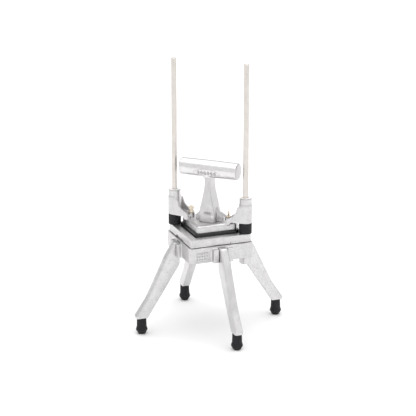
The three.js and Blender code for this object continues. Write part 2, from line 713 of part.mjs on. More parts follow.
// A flat paddle on a collar, on a shank that passes the head and threads into the pusher block
function thumbScrew() {
  const seat = PAD_TOP + GAP;
  const shank = post(THUMB_SCREW_RADIUS, [187, seat + 1], 0, 0, SMALL_ROUND);
  const collar = turnedSolid([[0, seat], [5, seat], [5, seat + 1.6], [3.6, seat + 2.4],
    [0, seat + 2.4]], 0, 0, SMALL_ROUND);
  const centre = 226.6;
  const halfWidth = 5.6;
  const halfHeight = 4.4;
  const outline = [[-1.8, seat + 2], [1.8, seat + 2]];
  const arcSteps = 12;
  for (let step = 0; step <= arcSteps; step++) {
    const angle = THREE.MathUtils.degToRad(-70 + 320 * step / arcSteps);
    outline.push([halfWidth * Math.cos(angle), centre + halfHeight * Math.sin(angle)]);
  }
  return joined([shank, collar, slab(outline, [-1.6, 1.6])]);
}

const screwTurns = { left: LEFT_SCREW_TURN, right: RIGHT_SCREW_TURN };
for (const [side, sign] of rodSides) {
  const screw = addPiece(dicer, `thumb_screw_${side}`, thumbScrew(), brass());
  screw.position.x = sign * THUMB_SCREW_X;
  screw.rotation.z = screwTurns[side];
}

export default dicer;
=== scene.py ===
import math

import bmesh
import bpy
from mathutils import Matrix, Vector


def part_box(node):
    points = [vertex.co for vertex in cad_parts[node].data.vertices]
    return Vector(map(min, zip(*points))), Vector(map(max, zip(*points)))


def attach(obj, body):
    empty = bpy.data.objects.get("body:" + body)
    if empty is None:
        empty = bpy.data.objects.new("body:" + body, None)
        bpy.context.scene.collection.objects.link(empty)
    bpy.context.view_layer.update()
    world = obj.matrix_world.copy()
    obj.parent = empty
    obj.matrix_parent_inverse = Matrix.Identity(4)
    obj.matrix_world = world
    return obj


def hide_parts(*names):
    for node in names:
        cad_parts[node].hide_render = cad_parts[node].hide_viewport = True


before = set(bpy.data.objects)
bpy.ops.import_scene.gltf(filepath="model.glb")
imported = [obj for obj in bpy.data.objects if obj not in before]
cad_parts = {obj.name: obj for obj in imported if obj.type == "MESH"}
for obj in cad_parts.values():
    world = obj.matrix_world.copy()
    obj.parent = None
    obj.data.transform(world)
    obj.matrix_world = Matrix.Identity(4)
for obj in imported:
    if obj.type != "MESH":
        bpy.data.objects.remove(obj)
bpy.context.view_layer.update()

# The vegetable dicer's visible surfaces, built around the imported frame.
#
# Shapes are made in millimetres and turned into metres when a piece is finished. What is square on
# the machine is built square to the axes and turned by 45 degrees last, because the castings stand
# on their corner. Cast pieces are joined from closed solids, skinned again as one surface and
# softened, which rounds their edges and fills their inner corners as a mould does. Bores, seats and
# slots are cut after that, so they stay crisp.

MM = 0.001
scene = bpy.context.scene


def span(node):
    """A CAD node's lowest and highest corner, in millimetres."""
    low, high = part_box(node)
    return Vector(low) / MM, Vector(high) / MM


def middle(node):
    low, high = span(node)
    return (low + high) / 2


# ---------------------------------------------------------------- sizes from the frame

SIDES = ("back_right", "back_left", "front_left", "front_right")
RODS = {"left": -1, "right": 1}

ROD_X = middle("guide_rod_right").x
ROD_BOTTOM, ROD_TOP = (corner.z for corner in span("guide_rod_right"))
BOSS_FOOT, SEAT_TOP = (corner.z for corner in span("base_casting"))
LEG_TOP = span("leg_front_left")[1].z
FOOT_TOP = span("foot_front_left")[1].z
FOOT_REACH = math.hypot(*middle("foot_front_left").xy)
FRAME_BOTTOM, FRAME_TOP = (corner.z for corner in span("blade_frame"))
BUMPER_BOTTOM, BUMPER_TOP = (corner.z for corner in span("bumper_right"))
BUMPER_RADIUS = (span("bumper_right")[1] - middle("bumper_right")).y
PLATE_BOTTOM, HEAD_TOP = (corner.z for corner in span("head_casting"))
FINGER_TIP, BLOCK_TOP = (corner.z for corner in span("pusher_block"))
HANDLE_BOTTOM, HANDLE_TOP = (corner.z for corner in span("tee_handle"))
SCREW_X = middle("thumb_screw_right").x
SCREW_BOTTOM, SCREW_TOP = (corner.z for corner in span("thumb_screw_right"))
UPPER_BLADE = [corner.z for corner in span("blade_upper_1")]
LOWER_BLADE = [corner.z for corner in span("blade_lower_1")]
BAR_BOTTOM, BAR_TOP = (corner.z for corner in span("blade_bar_front_left"))
ROD_CORNER = ROD_X / math.sqrt(2)      # the rods' place before the 45 degree turn

# ---------------------------------------------------------------- other sizes, in millimetres

GAP = 0.3
ROUND = 64
SMALL_ROUND = 32

BASE_HALF = 62.5
BASE_WIDE_CORNER = 12
BASE_CORNER = 4.5
SKIRT_WALL = 5.5
SKIRT_BOTTOM = 146
SKIRT_TOP = SEAT_TOP - 0.5
BASE_WEB = 7
BASE_OPENING = 45.5
SEAT_HALF = 53
ROD_BOSS = 11.5
ROD_RADIUS = 5
THREAD_RADIUS = 4
THREAD_TOP = 150
NUT_POCKET = 8.3
NUT_POCKET_TOP = 143
SOCKET_INNER = 8.3
SOCKET_OUTER = 19.6
SOCKET_PROUD = 8.5
SOCKET_TOP = LEG_TOP - 0.5
BOLT_Z = 158
BOLT_RADIUS = 3

LEG_HALF = 8
LEG_BEVEL = 2.6

FRAME_HALF = 59.5
FRAME_CORNER = 2.5
OPENING_HALF = 44.5
CELL = 12.7
BLADE_COUNT = 6
BLADE_HALF = 0.3
UPPER_BLADE_HEIGHT = 6.3
BLADE_REACH = 51
NOTCH_HALF = 19
NOTCH_HEIGHT = 4.2
NOTCH_DEPTH = 1.5
BAR_HALF_LENGTH = 38
BAR_SCREW_OFFSET = 35.3
BAR_SCREW_RADIUS = 1.4

BOSS_RADIUS = 12.3
BOSS_NECK_RADIUS = 11.4
BOSS_NECK = 246
BOSS_BOTTOM = BUMPER_TOP + GAP
PLATE_TOP = 209.5
PLATE_HALF = 40
PLATE_CORNER = 6
RECESS_HALF = 33
RECESS_FLOOR = HANDLE_BOTTOM - GAP
ARM_SPREAD = math.radians(6.5)
ARM_END = 36
WEB = 3.2
PAD_RADIUS = 6.6
PAD_TOP = 217.4
BUSHING_RADIUS = 8
BUSHING_SHOULDERS = (229, 236)
THUMB_SCREW_RADIUS = 3
HANDLE_SCREW_X = 9
HANDLE_SCREW_RADIUS = 2.5
HANDLE_SCREW_TOP = 224
SCREW_HEAD_ROOM = 5.3

GRIP_RADIUS = 16.5
GRIP_AXIS = HANDLE_TOP - GRIP_RADIUS
GRIP_HALF = 57.5

BLOCK_HALF = 43.5
BLOCK_CORNER = 8
BLOCK_BOTTOM = 190.6

# ---------------------------------------------------------------- mesh tools


def from_bmesh(bm, name="part"):
    mesh = bpy.data.meshes.new(name)
    bm.to_mesh(mesh)
    bm.free()
    ob = bpy.data.objects.new(name, mesh)
    scene.collection.objects.link(ob)
    return ob


def solid(points, faces):
    """One closed body with its faces pointing out."""
    bm = bmesh.new()
    corners = [bm.verts.new(point) for point in points]
    for face in faces:
        bm.faces.new([corners[i] for i in face])
    bmesh.ops.recalc_face_normals(bm, faces=bm.faces)
    return from_bmesh(bm)


def rounded(corners, closed=True, steps=4):
    """An outline of (a, b, radius) corners, each bent round by an arc-like curve of its radius."""
    outline = []
    count = len(corners)
    for i, (a, b, radius) in enumerate(corners):
        here = Vector((a, b))
        at_end = not closed and i in (0, count - 1)
        if radius == 0 or at_end:
            outline.append(tuple(here))
            continue
        before = Vector(corners[i - 1][:2]) - here
        after = Vector(corners[(i + 1) % count][:2]) - here
        half_angle = before.angle(after) / 2
        tangent = min(radius / math.tan(half_angle), before.length * 0.49, after.length * 0.49)
        start = here + before.normalized() * tangent
        end = here + after.normalized() * tangent
        for step in range(steps + 1):
            t = step / steps
            point = start * (1 - t) ** 2 + here * 2 * t * (1 - t) + end * t ** 2
            outline.append(tuple(point))
    return outline


def square(half_x, half_y, radius, other_radius=None, steps=8):
    """A rectangle with round corners. The left and right rods' corners may have another radius."""
    other = radius if other_radius is None else other_radius
    return rounded([(half_x, half_y, radius), (-half_x, half_y, other),
                    (-half_x, -half_y, radius), (half_x, -half_y, other)], steps=steps)


def loft(rings):
    """Skins rings of points, all with the same count, into one closed body."""
    count = len(rings[0])
    last = (len(rings) - 1) * count
    faces = [tuple(range(count)), tuple(range(last, last + count))]
    for level in range(len(rings) - 1):
        for i in range(count):
            a = level * count + i
            b = level * count + (i + 1) % count
            faces.append((a, b, b + count, a + count))
    return solid([point for ring in rings for point in ring], faces)


def column(levels):
    """A body of horizontal sections: (outline, z) pairs."""
    return loft([[(x, y, z) for x, y in outline] for outline, z in levels])


def prism(outline, low, high):
    return column([(outline, low), (outline, high)])


def block(x, y, z):
    outline = [(x[0], y[0]), (x[1], y[0]), (x[1], y[1]), (x[0], y[1])]
    return prism(outline, z[0], z[1])


def slab(outline, y):
    """An outline of (x, z) points, thick along Y."""
    return loft([[(a, side, b) for a, b in outline] for side in y])


def lathe(profile, x=0, y=0, sides=ROUND):
    """Turns (radius, z) points about the vertical. A profile off the axis closes on itself."""
    points = []
    rings = []
    for radius, z in profile:
        start = len(points)
        if radius == 0:
            points.append((x, y, z))
        else:
            for i in range(sides):
                angle = 2 * math.pi * i / sides
                points.append((x + radius * math.cos(angle), y + radius * math.sin(angle), z))
        rings.append(list(range(start, len(points))))
    pairs = list(zip(rings, rings[1:]))
    if profile[0][0] > 0:
        pairs.append((rings[-1], rings[0]))
    faces = []
    for lower, upper in pairs:
        for i in range(sides):
            j = (i + 1) % sides
            corners = [lower[i % len(lower)], lower[j % len(lower)],
                       upper[j % len(upper)], upper[i % len(upper)]]
            face = list(dict.fromkeys(corners))
            if len(face) > 2:
                faces.append(face)
    return solid(points, faces)


def post(radius, low, high, x=0, y=0, sides=ROUND):
    return lathe([(0, low), (radius, low), (radius, high), (0, high)], x, y, sides)


def tube(path, radius, sides=12):
    """A round ring along a closed path of points."""
    rings = []
    count = len(path)
    for i, point in enumerate(path):
        here = Vector(point)
        along = (Vector(path[(i + 1) % count]) - Vector(path[i - 1])).normalized()
        across = along.cross(Vector((0, 0, 1))).normalized()
        upward = across.cross(along)
        turns = [2 * math.pi * k / sides for k in range(sides)]
        rings.append([here + (across * math.cos(a) + upward * math.sin(a)) * radius for a in turns])
    points = [corner for ring in rings for corner in ring]
    faces = []
    for i in range(count):
        for k in range(sides):
            a = i * sides
            b = (i + 1) % count * sides
            faces.append((a + k, a + (k + 1) % sides, b + (k + 1) % sides, b + k))
    return solid(points, faces)


def smooth_curve(knots, steps=6):
    """A Catmull-Rom curve through a list of number tuples."""
    curve = []
    for i in range(len(knots) - 1):
        quad = [knots[max(i - 1, 0)], knots[i], knots[i + 1], knots[min(i + 2, len(knots) - 1)]]
        for step in range(steps):
            t = step / steps
            curve.append(tuple(
                0.5 * (2 * p1 + (p2 - p0) * t + (2 * p0 - 5 * p1 + 4 * p2 - p3) * t ** 2
                       + (3 * p1 - p0 - 3 * p2 + p3) * t ** 3)
                for p0, p1, p2, p3 in zip(*quad)))
    curve.append(tuple(knots[-1]))
    return curve


def moved(ob, matrix):
    ob.data.transform(matrix)
    return ob


def spun(ob, degrees, axis="Z"):
    return moved(ob, Matrix.Rotation(math.radians(degrees), 4, axis))


def shifted(ob, x=0, y=0, z=0):
    return moved(ob, Matrix.Translation((x, y, z)))


def copied(ob):
    twin = bpy.data.objects.new(ob.name, ob.data.copy())
    scene.collection.objects.link(twin)
    return twin


def applied(ob):
    """Gives the object the mesh that its modifiers make, and clears them."""
    bpy.context.view_layer.update()
    graph = bpy.context.evaluated_depsgraph_get()
    mesh = bpy.data.meshes.new_from_object(ob.evaluated_get(graph))
    ob.modifiers.clear()
    ob.data = mesh
    return ob


def combined(operation, body, others):
    for other in others:
        step = body.modifiers.new(operation, "BOOLEAN")
        step.operation = operation
        step.solver = "MANIFOLD"
        step.object = other
    applied(body)
    for other in others:
        bpy.data.objects.remove(other)
    return body


def joined(body, *others):
    return combined("UNION", body, others)


def cut(body, *others):
    return combined("DIFFERENCE", body, others)


def cast(body, cell, passes):
    """Skins a body again as one even surface and softens it, which rounds its edges."""
    skin = body.modifiers.new("skin", "REMESH")
    skin.mode = "VOXEL"
    skin.voxel_size = cell
    soften = body.modifiers.new("soften", "SMOOTH")
    soften.factor = 0.5
    soften.iterations = passes
    return applied(body)


def four_sides(make):
    return [spun(make(), 90 * quarter) for quarter in range(4)]


def at_rods(radius, low, high, sides=ROUND):
    """Two posts on the rods' axes, in the castings' own square frame."""
    return [post(radius, low, high, ROD_CORNER * sign, -ROD_CORNER * sign, sides)
            for sign in (1, -1)]


def finished(ob, name, body, look, turn=0, place=(0, 0, 0), crease=35):
    """Turns, places and scales a piece, ties it to its body and material, and hides the CAD node of
    the same name.
    """
    moved(ob, Matrix.Scale(MM, 4) @ Matrix.Translation(place)
          @ Matrix.Rotation(math.radians(turn), 4, "Z"))
    ob.name = f"{name}_shape"
    ob.data.name = ob.name
    ob.data.shade_smooth()
    ob.data.set_sharp_from_angle(angle=math.radians(crease))
    ob.data.materials.clear()
    for material in look if isinstance(look, (list, tuple)) else [look]:
        ob.data.materials.append(material)
    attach(ob, body)
    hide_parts(name)
    return ob


LOZENGE = [(1, 0), (0, 1), (-1, 0), (0, -1)]

# ---------------------------------------------------------------- materials


class Nodes:
    """Short calls for building one material's node tree."""

    def __init__(self, name):
        self.material = bpy.data.materials.new(name)
        self.material.use_nodes = True
        self.tree = self.material.node_tree
        self.shader = self.tree.nodes["Principled BSDF"]
        self.place = self.add("ShaderNodeTexCoord").outputs["Object"]

    def add(self, kind, **settings):
        node = self.tree.nodes.new(kind)
        for key, value in settings.items():
            setattr(node, key, value)
        return node

    def set(self, **values):
        for key, value in values.items():
            self.shader.inputs[key.replace("_", " ")].default_value = value

    def link(self, output, target):
        self.tree.links.new(output, target)

    def stretched(self, x=1, y=1, z=1):
        mapping = self.add("ShaderNodeMapping")
        mapping.inputs["Scale"].default_value = (x, y, z)
        self.link(self.place, mapping.inputs["Vector"])
        return mapping.outputs["Vector"]

    def noise(self, size, detail=3, rough=0.55, where=None):
        """Noise whose main features are about `size` millimetres across."""
        noise = self.add("ShaderNodeTexNoise")
        noise.inputs["Scale"].default_value = 1 / (size * MM)
        noise.inputs["Detail"].default_value = detail
        noise.inputs["Roughness"].default_value = rough
        self.link(where or self.place, noise.inputs["Vector"])
        return noise.outputs["Fac"]

    def ranged(self, value, low, high, start=0.3, end=0.7):
        """Spreads a value between start and end over low to high."""
        node = self.add("ShaderNodeMapRange")
        node.inputs["From Min"].default_value = start
        node.inputs["From Max"].default_value = end
        node.inputs["To Min"].default_value = low
        node.inputs["To Max"].default_value = high
        self.link(value, node.inputs["Value"])
        return node.outputs["Result"]

    def blended(self, factor, first, second):
        """A colour between two colours, or between a socket and a colour."""
        node = self.add("ShaderNodeMix", data_type="RGBA")
        self.link(factor, node.inputs["Factor"])
        for socket, colour in ((node.inputs[6], first), (node.inputs[7], second)):
            if isinstance(colour, tuple):
                socket.default_value = (*colour, 1)
            else:
                self.link(colour, socket)
        return node.outputs[2]

    def bumped(self, height, strength, depth, under=None):
        """A bump of `depth` millimetres."""
        bump = self.add("ShaderNodeBump")
        bump.inputs["Strength"].default_value = strength
        bump.inputs["Distance"].default_value = depth * MM
        self.link(height, bump.inputs["Height"])
        if under:
            self.link(under, bump.inputs["Normal"])
        return bump.outputs["Normal"]

    def painted_corner_shade(self, colour, reach, shade):
        """Paints shade into a colour: darker in corners and gaps narrower than about `reach`
        millimetres, found by ambient occlusion.
        """
        # painted shade: the colour goes towards `shade` where another surface is near
        corner = self.add("ShaderNodeAmbientOcclusion", samples=8)
        corner.inputs["Distance"].default_value = reach * MM
        return self.blended(self.ranged(corner.outputs["AO"], 0.7, 0, 0.15, 0.7), colour, shade)

    def colour(self, output):
        self.link(output, self.shader.inputs["Base Color"])

    def roughness(self, output):
        self.link(output, self.shader.inputs["Roughness"])

    def normal(self, output):
        self.link(output, self.shader.inputs["Normal"])


def tumbled_aluminium(name, low, high):
    """Cast aluminium, tumbled bright: fine dimples, faint grey patches, with shade painted into the
    corners.
    """
    n = Nodes(name)
    n.set(Metallic=1.0)
    dimples = n.noise(1.6, detail=2)
    grain = n.noise(0.45, detail=2)
    patches = n.noise(14, detail=4, rough=0.6)
    tint = n.blended(n.ranged(patches, 0, 1), (low + 0.01, low, low + 0.004),
                     (high + 0.01, high, high + 0.004))
    specks = n.ranged(n.noise(1.2, detail=2), 0, 0.75, 0.52, 0.7)
    speckled = n.blended(specks, tint, (0.3, 0.292, 0.296))
    # painted shade: corners and gaps within about 2 mm turn towards dark grey
    n.colour(n.painted_corner_shade(speckled, 2, (0.16, 0.155, 0.155)))
    n.roughness(n.ranged(dimples, 0.26, 0.38))
    n.normal(n.bumped(grain, 0.3, 0.05, n.bumped(dimples, 0.6, 0.14)))
    return n.material


def polished_aluminium():
    """The grip: cast, then polished where hands hold it, with soft scratches."""
    n = Nodes("polished_aluminium")
    n.set(Metallic=1.0)
    ripple = n.noise(7, detail=2)
    scratches = n.noise(0.4, detail=3, where=n.stretched(x=0.06))
    pits = n.noise(1.1, detail=1)
    tint = n.blended(n.ranged(ripple, 0, 1), (0.69, 0.677, 0.682), (0.765, 0.752, 0.757))
    pitted = n.blended(n.ranged(pits, 0, 0.3, 0.66, 0.8), tint, (0.42, 0.41, 0.415))
    # painted shade: corners and gaps within about 2.2 mm turn towards near black
    n.colour(n.painted_corner_shade(pitted, 2.2, (0.08, 0.075, 0.075)))
    n.roughness(n.ranged(scratches, 0.2, 0.3))
    n.normal(n.bumped(pits, 0.2, 0.04, n.bumped(ripple, 0.25, 0.12)))
    return n.material


def machined_aluminium():
    """Milled faces, with fine lines left by the cutter."""
    n = Nodes("machined_aluminium")
    n.set(Metallic=1.0)
    lines = n.noise(0.5, detail=2, where=n.stretched(x=0.04))
    patches = n.noise(11, detail=3)
    n.colour(n.blended(n.ranged(patches, 0, 1), (0.75, 0.74, 0.745), (0.84, 0.83, 0.835)))
    n.roughness(n.ranged(lines, 0.32, 0.45))
    n.normal(n.bumped(lines, 0.2, 0.02))
    return n.material


def ground_stainless():
    """The guide rods: centreless ground, very fine rings, faintly warm."""
    n = Nodes("ground_stainless")
    n.set(Metallic=1.0)
    rings = n.noise(0.6, detail=2, where=n.stretched(x=0.05, y=0.05))
    cloud = n.noise(18, detail=3)
    n.colour(n.blended(n.ranged(cloud, 0, 1), (0.60, 0.563, 0.53), (0.67, 0.633, 0.60)))
    n.roughness(n.ranged(rings, 0.24, 0.36))
    n.normal(n.bumped(rings, 0.15, 0.01))
    return n.material


def blade_steel():
    """Thin rolled blade strip with lengthwise rolling lines."""
    n = Nodes("blade_steel")
    n.set(Metallic=1.0)
    lines = n.noise(0.5, detail=3, where=n.stretched(x=0.08, y=0.08))
    n.colour(n.blended(n.ranged(lines, 0, 1), (0.55, 0.57, 0.60), (0.68, 0.70, 0.72)))
    n.roughness(n.ranged(lines, 0.15, 0.28))
    n.normal(n.bumped(lines, 0.15, 0.01))
    return n.material


def zinc_steel():
    """Plated fasteners: cloudy, slightly bluish zinc."""
    n = Nodes("zinc_steel")
    n.set(Metallic=1.0)
    cloud = n.noise(2.2, detail=4)
    n.colour(n.blended(n.ranged(cloud, 0, 1), (0.42, 0.43, 0.46), (0.62, 0.63, 0.65)))
    n.roughness(n.ranged(cloud, 0.28, 0.45))
    n.normal(n.bumped(cloud, 0.15, 0.03))
    return n.material


def pale_brass():
    """The thumb screws: pale brass, a little browner where it has dulled."""
    n = Nodes("pale_brass")
    n.set(Metallic=1.0)
    dull = n.noise(2.4, detail=4)
    n.colour(n.blended(n.ranged(dull, 0, 1, 0.4, 0.75), (0.80, 0.73, 0.62), (0.50, 0.40, 0.29)))
    n.roughness(n.ranged(dull, 0.24, 0.42))
    n.normal(n.bumped(dull, 0.2, 0.04))
    return n.material


def black_rubber():
    """Moulded rubber: matt, faintly dusty, with a fine pebbled skin."""
    n = Nodes("black_rubber")
    n.set(Metallic=0.0, Specular_IOR_Level=0.3)
    skin = n.noise(0.5, detail=2)
    dust = n.noise(5, detail=4, rough=0.65)
    n.colour(n.blended(n.ranged(dust, 0, 1, 0.45, 0.8), (0.007, 0.007, 0.009),
                       (0.02, 0.02, 0.023)))
    n.roughness(n.ranged(skin, 0.5, 0.68))
    n.normal(n.bumped(skin, 0.35, 0.06))
    return n.material


def black_plastic():
    """The pusher block: moulded plastic with a soft sheen and fine flow marks."""
    n = Nodes("black_plastic")
    n.set(Metallic=0.0)
    skin = n.noise(0.35, detail=2)
    flow = n.noise(9, detail=3)
    n.colour(n.blended(n.ranged(flow, 0, 1), (0.003, 0.003, 0.004), (0.007, 0.007, 0.008)))
    n.roughness(n.ranged(skin, 0.16, 0.26))
    n.normal(n.bumped(skin, 0.12, 0.02))
    return n.material


def white_nylon():
    """The bushings: turned nylon, faintly translucent."""
    n = Nodes("white_nylon")
    n.set(Metallic=0.0, Subsurface_Weight=0.15, Subsurface_Scale=0.002)
    turning = n.noise(0.4, detail=2, where=n.stretched(x=0.2, y=0.2))
    cloud = n.noise(3, detail=3)
    n.colour(n.blended(n.ranged(cloud, 0, 1), (0.84, 0.84, 0.82), (0.91, 0.91, 0.90)))
    n.roughness(n.ranged(turning, 0.38, 0.5))
    n.normal(n.bumped(turning, 0.2, 0.02))
    return n.material


CAST = tumbled_aluminium("cast_aluminium_body", 0.57, 0.67)
HANDLE_CAST = tumbled_aluminium("cast_aluminium_handle", 0.53, 0.62)
LEG_CAST = tumbled_aluminium("cast_aluminium_legs", 0.63, 0.72)
POLISHED = polished_aluminium()
MACHINED = machined_aluminium()
STAINLESS = ground_stainless()
BLADE = blade_steel()
ZINC = zinc_steel()
BRASS = pale_brass()
RUBBER = black_rubber()
PLASTIC = black_plastic()
NYLON = white_nylon()

# ---------------------------------------------------------------- base


def leg_socket(side):
    """One of the two blocks beside a leg, facing +X."""
    y = sorted((side * SOCKET_INNER, side * SOCKET_OUTER))
    return block((BASE_HALF - 1, BASE_HALF + SOCKET_PROUD), y, (SKIRT_BOTTOM, SOCKET_TOP))


def skirt_panel(body):
    """Sinks a plain panel into the front right skirt, with three rows of lozenge studs."""
    low, high, start, end = 149.5, 168.5, -52, -25
    face = -BASE_HALF
    panel = block((start, end), (face - 2, face + 0.7), (low, high))
    body = cut(body, panel)
    places = [(start + 3.9 + 4.8 * column_index, low + 3.7 + 5.8 * row)
              for column_index in range(5) for row in range(3)]
    raised = []
    for x, z in places:
        rings = [[(x + p * 1.5 * grow, face - height, z + q * 2.1 * grow) for p, q in LOZENGE]
                 for grow, height in ((1, -1.5), (1, 0.4), (0.6, 1))]
        raised.append(loft(rings))
    return joined(body, *raised)


def base_casting():
    inside = BASE_HALF - SKIRT_WALL
    skirt = prism(square(BASE_HALF, BASE_HALF, BASE_WIDE_CORNER, BASE_CORNER),
                  SKIRT_BOTTOM, SKIRT_TOP)
    underside = prism(square(inside, inside, BASE_WIDE_CORNER - SKIRT_WALL, BASE_CORNER),
                      SKIRT_BOTTOM - 1, SKIRT_TOP - BASE_WEB)
    seat = block((-SEAT_HALF, SEAT_HALF), (-SEAT_HALF, SEAT_HALF), (SKIRT_TOP - 1, SEAT_TOP))
    sockets = [spun(leg_socket(side), 90 * quarter) for side in (1, -1) for quarter in range(4)]
    body = joined(cut(skirt, underside), seat, *at_rods(ROD_BOSS, BOSS_FOOT, SKIRT_TOP - 1),
                  *sockets)
    opening = block((-BASE_OPENING, BASE_OPENING), (-BASE_OPENING, BASE_OPENING),
                    (BOSS_FOOT - 1, SEAT_TOP + 1))
    body = cast(cut(body, opening), 0.8, 6)
    bolt_holes = four_sides(lambda: spun(post(BOLT_RADIUS + GAP, inside - 4, BASE_HALF + 4,
                                              -BOLT_Z, 0, SMALL_ROUND), 90, "Y"))
    return cut(skirt_panel(body), *bolt_holes,
               *at_rods(ROD_RADIUS + GAP, THREAD_TOP - GAP, SEAT_TOP + 1),
               *at_rods(THREAD_RADIUS + GAP, NUT_POCKET_TOP - 1, THREAD_TOP),
               *at_rods(NUT_POCKET, BOSS_FOOT - 1, NUT_POCKET_TOP))


def leg_ring(inner, outer, z, inset):
    half = LEG_HALF - inset
    a = inner + inset
    b = outer - inset
    outline = rounded([
        (a, -half, 2), (b - LEG_BEVEL, -half, 1.2), (b, LEG_BEVEL - half, 1.2),
        (b, half - LEG_BEVEL, 1.2), (b - LEG_BEVEL, half, 1.2), (a, half, 2)], steps=3)
    return [(x, y, z) for x, y in outline]


def leg():
    """A leg that leans out along +X: thick at the knee, kicked out at the foot."""
    face = BASE_HALF + GAP
    bottom = FOOT_TOP + GAP
    edge = 0.7
    knots = [(126.8, 148.6, bottom), (124.2, 149.3, 35.3), (122.4, 147.6, 38.4),
             (112, 136.8, 54.3), (101, 126, 71), (90, 117.5, 88), (76, 107.2, 109.5),
             (face + 0.6, 97.3, 129.7), (face, 90.2, 145), (face, 82, 158), (face, 73, LEG_TOP)]
    rings = []
    for inner, outer, z in smooth_curve(knots):
        from_end = min(z - bottom, LEG_TOP - z)
        inset = 0
        if from_end < edge:
            inset = edge - math.sqrt(edge ** 2 - (edge - from_end) ** 2)
        rings.append(leg_ring(inner, outer, z, inset))
    return loft(rings)


def rubber_foot():
    profile = rounded([
        (0, 0, 0), (6.4, 0, 0.8), (10.7, 7.2, 1.6), (10.9, 9.2, 1.6), (9.3, 14.2, 5),
        (8.8, FOOT_TOP, 0.8), (0, FOOT_TOP, 0)], closed=False, steps=5)
    return lathe(profile, FOOT_REACH)


def hexagon(across_corners, low, high, chamfer=0.8):
    """A hexagon head with its corners turned down at the top and the bottom."""
    radius = across_corners / 2
    ring = [(radius * math.cos(k * math.pi / 3), radius * math.sin(k * math.pi / 3))
            for k in range(6)]
    envelope = lathe([(0, low), (radius - chamfer, low), (radius, low + chamfer / 2),
                      (radius, high - chamfer / 2), (radius - chamfer, high), (0, high)],
                     sides=SMALL_ROUND)
    return combined("INTERSECT", prism(ring, low, high), [envelope])


def leg_bolt():
    under_head = BASE_HALF - SKIRT_WALL - GAP
    head = hexagon(11.5, under_head - 4, under_head)
    shank = post(BOLT_RADIUS, under_head - 1, BASE_HALF + 12, sides=SMALL_ROUND)
    return shifted(spun(joined(head, shank), 90, "Y"), z=BOLT_Z)


# ---------------------------------------------------------------- rods and bumpers


def guide_rod():
    return lathe(rounded([
        (0, ROD_BOTTOM, 0), (THREAD_RADIUS, ROD_BOTTOM, 0.6), (THREAD_RADIUS, THREAD_TOP, 0.3),
        (ROD_RADIUS, THREAD_TOP, 0.3), (ROD_RADIUS, ROD_TOP - 1, 2.4), (3.2, ROD_TOP, 1.5),
        (0, ROD_TOP, 0)], closed=False, steps=5))


def rod_washer():
    low, high = (corner.z for corner in span("rod_washer_left"))
    inner = THREAD_RADIUS + GAP
    return lathe(rounded([(inner, low, 0), (7.8, low, 0.4), (7.8, high, 0.4), (inner, high, 0)]))


def rod_nut():
    low, high = (corner.z for corner in span("rod_nut_left"))
    return cut(hexagon(15, low, high), post(THREAD_RADIUS + GAP, low - 1, high + 1))


def bumper():
    bore = ROD_RADIUS + GAP
    return lathe(rounded([
        (bore, BUMPER_BOTTOM, 0.4), (BUMPER_RADIUS, BUMPER_BOTTOM, 1),
        (BUMPER_RADIUS, BUMPER_TOP, 1), (bore, BUMPER_TOP, 0.4)], steps=5))


# ---------------------------------------------------------------- blade frame and blades

BLADE_OFFSETS = [(i - (BLADE_COUNT - 1) / 2) * CELL for i in range(BLADE_COUNT)]


def bar_screw(extra=0):
    head = 2.5 + extra
    shank = BAR_SCREW_RADIUS + extra
    return lathe([(0, BAR_BOTTOM - extra), (head, BAR_BOTTOM - extra), (shank, BAR_BOTTOM + 1.3),
                  (shank, 184 + extra), (0, 184 + extra)], OPENING_HALF + 3.4, 0, SMALL_ROUND)


def blade_frame():
    lip = FRAME_BOTTOM + 2.8
    wide = square(FRAME_HALF + 0.2, FRAME_HALF + 0.2, FRAME_CORNER)
    narrow = square(FRAME_HALF - 0.3, FRAME_HALF - 0.3, FRAME_CORNER)
    body = cast(column([(wide, FRAME_BOTTOM - 0.5), (wide, lip), (narrow, lip + 0.3),
                        (narrow, FRAME_TOP + 0.7)]), 0.7, 5)
    beyond = FRAME_HALF + 5
    faces = [block((-beyond, beyond), (-beyond, beyond), (FRAME_TOP, FRAME_TOP + 5)),
             block((-beyond, beyond), (-beyond, beyond), (FRAME_BOTTOM - 5, FRAME_BOTTOM))]
    opening = column([
        (square(OPENING_HALF, OPENING_HALF, 0.5), FRAME_BOTTOM - 1),
        (square(OPENING_HALF, OPENING_HALF, 0.5), FRAME_TOP - 1.6),
        (square(OPENING_HALF + 2.6, OPENING_HALF + 2.6, 0.5), FRAME_TOP + 1)])
    reach = BLADE_REACH + GAP
    slots = []
    for offset in BLADE_OFFSETS:
        across = (offset - BLADE_HALF - GAP, offset + BLADE_HALF + GAP)
        slots.append(block((-reach, reach), across, (FRAME_BOTTOM - 1, UPPER_BLADE[1] + GAP)))
        slots.append(block(across, (-reach, reach), (FRAME_BOTTOM - 1, LOWER_BLADE[1] + GAP)))
    bar_rooms = four_sides(lambda: block(
        (OPENING_HALF - 1, reach), (-BAR_HALF_LENGTH - GAP, BAR_HALF_LENGTH + GAP),
        (FRAME_BOTTOM - 1, BAR_TOP + GAP)))
    notches = four_sides(lambda: block(
        (FRAME_HALF - NOTCH_DEPTH, FRAME_HALF + 2), (-NOTCH_HALF, NOTCH_HALF),
        (FRAME_BOTTOM - 1, FRAME_BOTTOM + NOTCH_HEIGHT)))
    screw_holes = []
    for side in (1, -1):
        screw_holes += four_sides(lambda: shifted(bar_screw(GAP), y=side * BAR_SCREW_OFFSET))
    return cut(body, *faces, opening, *slots, *bar_rooms, *notches, *screw_holes,
               *at_rods(ROD_RADIUS + GAP, FRAME_BOTTOM - 1, FRAME_TOP + 1))


def mark_machined(ob):
    """Gives the second material to the faces that a cutter made: the top and the opening."""
    for face in ob.data.polygons:
        centre = face.center / MM
        inward = math.hypot(face.normal.x, face.normal.y) > 0.3 and max(
            abs(centre.x + centre.y), abs(centre.x - centre.y)) / math.sqrt(2) < BLADE_REACH + 2
        if face.normal.z > 0.99 and centre.z > FRAME_TOP - 0.1 or inward:
            face.material_index = 1


